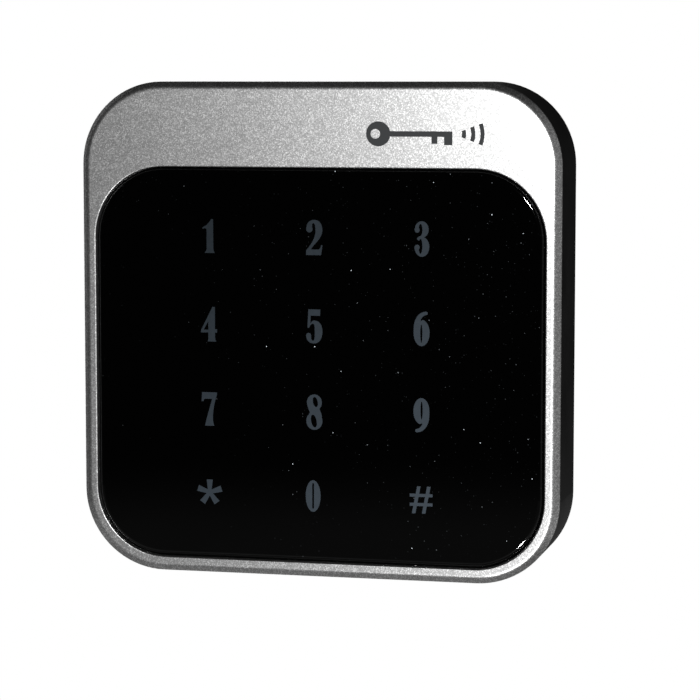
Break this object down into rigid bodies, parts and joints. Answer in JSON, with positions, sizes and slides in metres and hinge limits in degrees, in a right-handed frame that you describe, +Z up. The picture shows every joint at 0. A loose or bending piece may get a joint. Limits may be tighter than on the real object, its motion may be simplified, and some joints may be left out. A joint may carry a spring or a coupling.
{
  "type": "keypad access reader",
  "caption": "Flat wall-mounted touch keypad and proximity reader: black glass key panel in a silver frame, black rear case that hangs on a steel wall plate.",
  "frame": {"origin": "centre of the wall plate's fixing slots, on its back face, where the reader meets the wall", "axes": "+Z up the wall, +X to the right seen from the front, +Y into the wall; the key panel faces -Y"},
  "size_m": [0.118, 0.0234, 0.1194],
  "materials": {
    "silver_paint": "fine-grained silver paint",
    "lens": "black back-printed touch panel, high gloss",
    "legend_ink": "slate grey window print under gloss",
    "mark_ink": "dark grey pad print",
    "foam": "adhesive foam tape",
    "diffuser": "milky light guide",
    "copper": "bare copper electrodes",
    "led": "phosphor capped light emitting diode",
    "circuit_board": "green solder mask on glass epoxy",
    "nylon": "natural nylon",
    "black_nylon": "black moulded nylon",
    "coil_wire": "enamelled copper wire, bonded",
    "chip_epoxy": "moulded epoxy",
    "can_metal": "drawn metal can",
    "terminal_green": "green moulded nylon",
    "zinc_steel": "zinc-plated steel",
    "red_plastic": "red acetal",
    "seal_rubber": "black rubber",
    "black_plastic": "semi-gloss black moulded plastic",
    "plate_steel": "galvanised sheet steel"
  },
  "bodies": {
    "mounting_plate": {"wall_plate": "plate_steel", "cable_grommet": "seal_rubber"},
    "reader": {"front_bezel": "silver_paint", "touch_lens": "lens", "key_legends": "legend_ink", "key_mark": "mark_ink", "lens_gasket": "foam", "light_guide": "diffuser", "touch_pads": "copper", "key_leds": "led", "touch_pcb": "circuit_board", "board_spacers": "nylon", "board_connector": "black_nylon", "main_pcb": "circuit_board", "antenna_coil": "coil_wire", "controller_chip": "chip_epoxy", "rf_chip": "chip_epoxy", "crystal": "can_metal", "capacitors": "can_metal", "buzzer": "black_nylon", "terminal_block": "terminal_green", "terminal_screws": "zinc_steel", "tamper_switch": "black_nylon", "housing_seal": "seal_rubber", "rear_housing": "black_plastic", "case_screws": "zinc_steel"},
    "tamper_plunger": {"tamper_plunger": "red_plastic"},
    "lock_screw": {"lock_screw": "zinc_steel"}
  },
  "joints": [
    {"name": "reader_tilt", "type": "hinge", "parent": "mounting_plate", "child": "reader", "pos_m": [0, -0.0004, 0.0597], "axis": [-1, 0, 0], "range_deg": [0, 20]},
    {"name": "tamper_press", "type": "slide", "parent": "reader", "child": "tamper_plunger", "axis": [0, 1, 0], "range_m": [-0.001, 0], "stiffness_N_per_m": 200, "springref_m": 0.001},
    {"name": "lock_screw_back_out", "type": "slide", "parent": "mounting_plate", "child": "lock_screw", "axis": [0, 0, -1], "range_m": [0, 0.001]}
  ]
}
